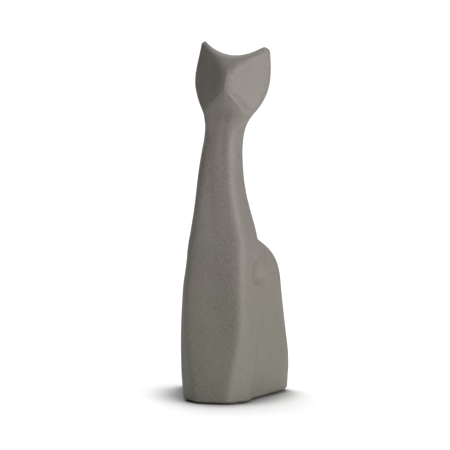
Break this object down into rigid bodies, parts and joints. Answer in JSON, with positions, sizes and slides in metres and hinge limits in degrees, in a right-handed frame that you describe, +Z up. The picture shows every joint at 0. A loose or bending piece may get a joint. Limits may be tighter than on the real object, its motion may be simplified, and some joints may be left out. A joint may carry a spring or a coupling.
{
  "type": "ceramic cat figurine",
  "caption": "Tall seated stoneware cat with a flat chest, planar face and pointed ears, hollow, closed below by a pull-out rubber stopper, on felt pads.",
  "frame": {"origin": "middle of the footprint on the plane the felt pads stand on", "axes": "+Z up, the cat looks along -Y, its own left side is +X"},
  "size_m": [0.0902, 0.097, 0.301],
  "materials": {
    "stoneware": "matt, fine sandy grain",
    "stopper_rubber": "soft matt",
    "felt": "pressed felt"
  },
  "bodies": {
    "figurine": {"ceramic_body": "stoneware", "felt_pad_front_left": "felt", "felt_pad_front_right": "felt", "felt_pad_rear_left": "felt", "felt_pad_rear_right": "felt"},
    "stopper": {"base_stopper": "stopper_rubber"}
  },
  "joints": [
    {"name": "stopper_pull", "type": "slide", "parent": "figurine", "child": "stopper", "axis": [0, 0, -1], "range_m": [0, 0.02]}
  ]
}
